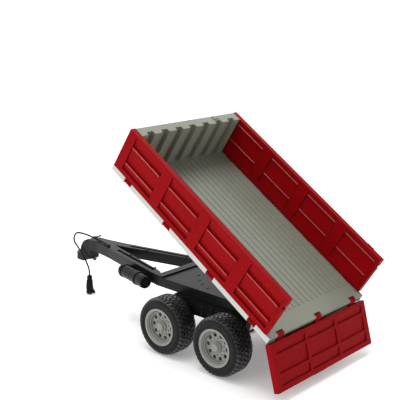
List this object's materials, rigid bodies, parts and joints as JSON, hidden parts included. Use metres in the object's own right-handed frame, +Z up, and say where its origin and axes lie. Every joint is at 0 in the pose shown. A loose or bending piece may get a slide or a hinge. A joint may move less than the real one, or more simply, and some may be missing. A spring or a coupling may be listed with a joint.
{
  "type": "toy-scale tandem-axle tipping trailer",
  "caption": "Toy tandem-axle grain cart: black drawbar chassis, grey tipping bed with hinged red side walls and tailgate, ram-lifted, four free wheels.",
  "frame": {"origin": "on the ground midway between the towing block's nose and the hanging tailgate's rearmost edge, on the centre line", "axes": "+X forward to the hitch, +Y to the left, +Z up"},
  "size_m": [0.3865, 0.166, 0.2343],
  "materials": {
    "chassis_black": "fine moulded satin",
    "panel_red": "semi-gloss moulded",
    "bed_grey": "satin moulded",
    "rim_grey": "satin moulded",
    "tyre_rubber": "soft matt rubber",
    "hose_black": "smooth flexible tube",
    "ram_grey": "satin moulded",
    "steel": "drawn bright steel"
  },
  "bodies": {
    "chassis": {"air_tank": "chassis_black", "axle_clips": "steel", "chassis_frame": "chassis_black", "draw_pin": "steel", "drawbar": "chassis_black", "drawbar_screws": "steel", "front_axle": "steel", "hitch_head": "chassis_black", "hose": "hose_black", "hose_guide": "chassis_black", "hose_plug": "chassis_black", "hose_socket": "chassis_black", "plug_catch": "chassis_black", "rear_axle": "steel", "suspension_left": "chassis_black", "suspension_right": "chassis_black", "tank_straps": "chassis_black", "tip_hinge_pin": "steel", "towing_block": "chassis_black"},
    "bed": {"bed_floor": "bed_grey", "bed_subframe": "bed_grey", "tip_lugs": "bed_grey", "front_wall": "bed_grey", "wall_pegs": "bed_grey", "left_wall_pins": "steel", "right_wall_pins": "steel", "tailgate_pins": "steel", "subframe_screws": "steel", "ram_top_pin": "steel"},
    "left_wall": {"left_wall": "panel_red"},
    "right_wall": {"right_wall": "panel_red"},
    "tailgate": {"tailgate": "panel_red"},
    "ram_barrel": {"ram_barrel": "chassis_black"},
    "ram_stage": {"ram_stage": "ram_grey"},
    "ram_rod": {"ram_rod": "ram_grey"},
    "wheel_front_left": {"front_left_tyre": "tyre_rubber", "front_left_rim": "rim_grey", "front_left_disc": "rim_grey", "front_left_hub": "rim_grey", "front_left_hub_cap": "rim_grey"},
    "wheel_front_right": {"front_right_tyre": "tyre_rubber", "front_right_rim": "rim_grey", "front_right_disc": "rim_grey", "front_right_hub": "rim_grey", "front_right_hub_cap": "rim_grey"},
    "wheel_rear_left": {"rear_left_tyre": "tyre_rubber", "rear_left_rim": "rim_grey", "rear_left_disc": "rim_grey", "rear_left_hub": "rim_grey", "rear_left_hub_cap": "rim_grey"},
    "wheel_rear_right": {"rear_right_tyre": "tyre_rubber", "rear_right_rim": "rim_grey", "rear_right_disc": "rim_grey", "rear_right_hub": "rim_grey", "rear_right_hub_cap": "rim_grey"}
  },
  "joints": [
    {"name": "bed_tip", "type": "hinge", "parent": "chassis", "child": "bed", "pos_m": [-0.12952, 0, 0.048], "axis": [0, -1, 0], "range_deg": [-31.95, 0]},
    {"name": "left_wall_fold", "type": "hinge", "parent": "bed", "child": "left_wall", "pos_m": [-0.16937, 0.0784, 0.05862], "axis": [-0.8485, 0, -0.5292], "range_deg": [0, 155]},
    {"name": "right_wall_fold", "type": "hinge", "parent": "bed", "child": "right_wall", "pos_m": [-0.16937, -0.0784, 0.05862], "axis": [0.8485, 0, 0.5292], "range_deg": [0, 155]},
    {"name": "tailgate_fold", "type": "hinge", "parent": "bed", "child": "tailgate", "pos_m": [-0.16768, 0, 0.05968], "axis": [0, -1, 0], "range_deg": [-131.65, 18]},
    {"name": "ram_swing", "type": "hinge", "parent": "chassis", "child": "ram_barrel", "pos_m": [-0.06452, 0, 0.058], "axis": [0, -1, 0], "range_deg": [-16.48, 0.5]},
    {"name": "ram_stage_slide", "type": "slide", "parent": "ram_barrel", "child": "ram_stage", "axis": [-0.5018, 0, 0.865], "range_m": [-0.01798, 0.0002]},
    {"name": "ram_rod_slide", "type": "slide", "parent": "ram_stage", "child": "ram_rod", "axis": [-0.5018, 0, 0.865], "range_m": [-0.01798, 0.0002]},
    {"name": "spin_front_left", "type": "hinge", "parent": "chassis", "child": "wheel_front_left", "pos_m": [-0.02652, 0.0669, 0.031], "axis": [0, 1, 0], "continuous": true},
    {"name": "spin_front_right", "type": "hinge", "parent": "chassis", "child": "wheel_front_right", "pos_m": [-0.02652, -0.0669, 0.031], "axis": [0, 1, 0], "continuous": true},
    {"name": "spin_rear_left", "type": "hinge", "parent": "chassis", "child": "wheel_rear_left", "pos_m": [-0.10252, 0.0669, 0.031], "axis": [0, 1, 0], "continuous": true},
    {"name": "spin_rear_right", "type": "hinge", "parent": "chassis", "child": "wheel_rear_right", "pos_m": [-0.10252, -0.0669, 0.031], "axis": [0, 1, 0], "continuous": true}
  ],
  "couplings": [
    {"joint": "ram_swing", "follows": "bed_tip", "ratio": 0.5},
    {"joint": "ram_stage_slide", "follows": "bed_tip", "m_per_rad": 0.031885},
    {"joint": "ram_rod_slide", "follows": "bed_tip", "m_per_rad": 0.031885}
  ]
}
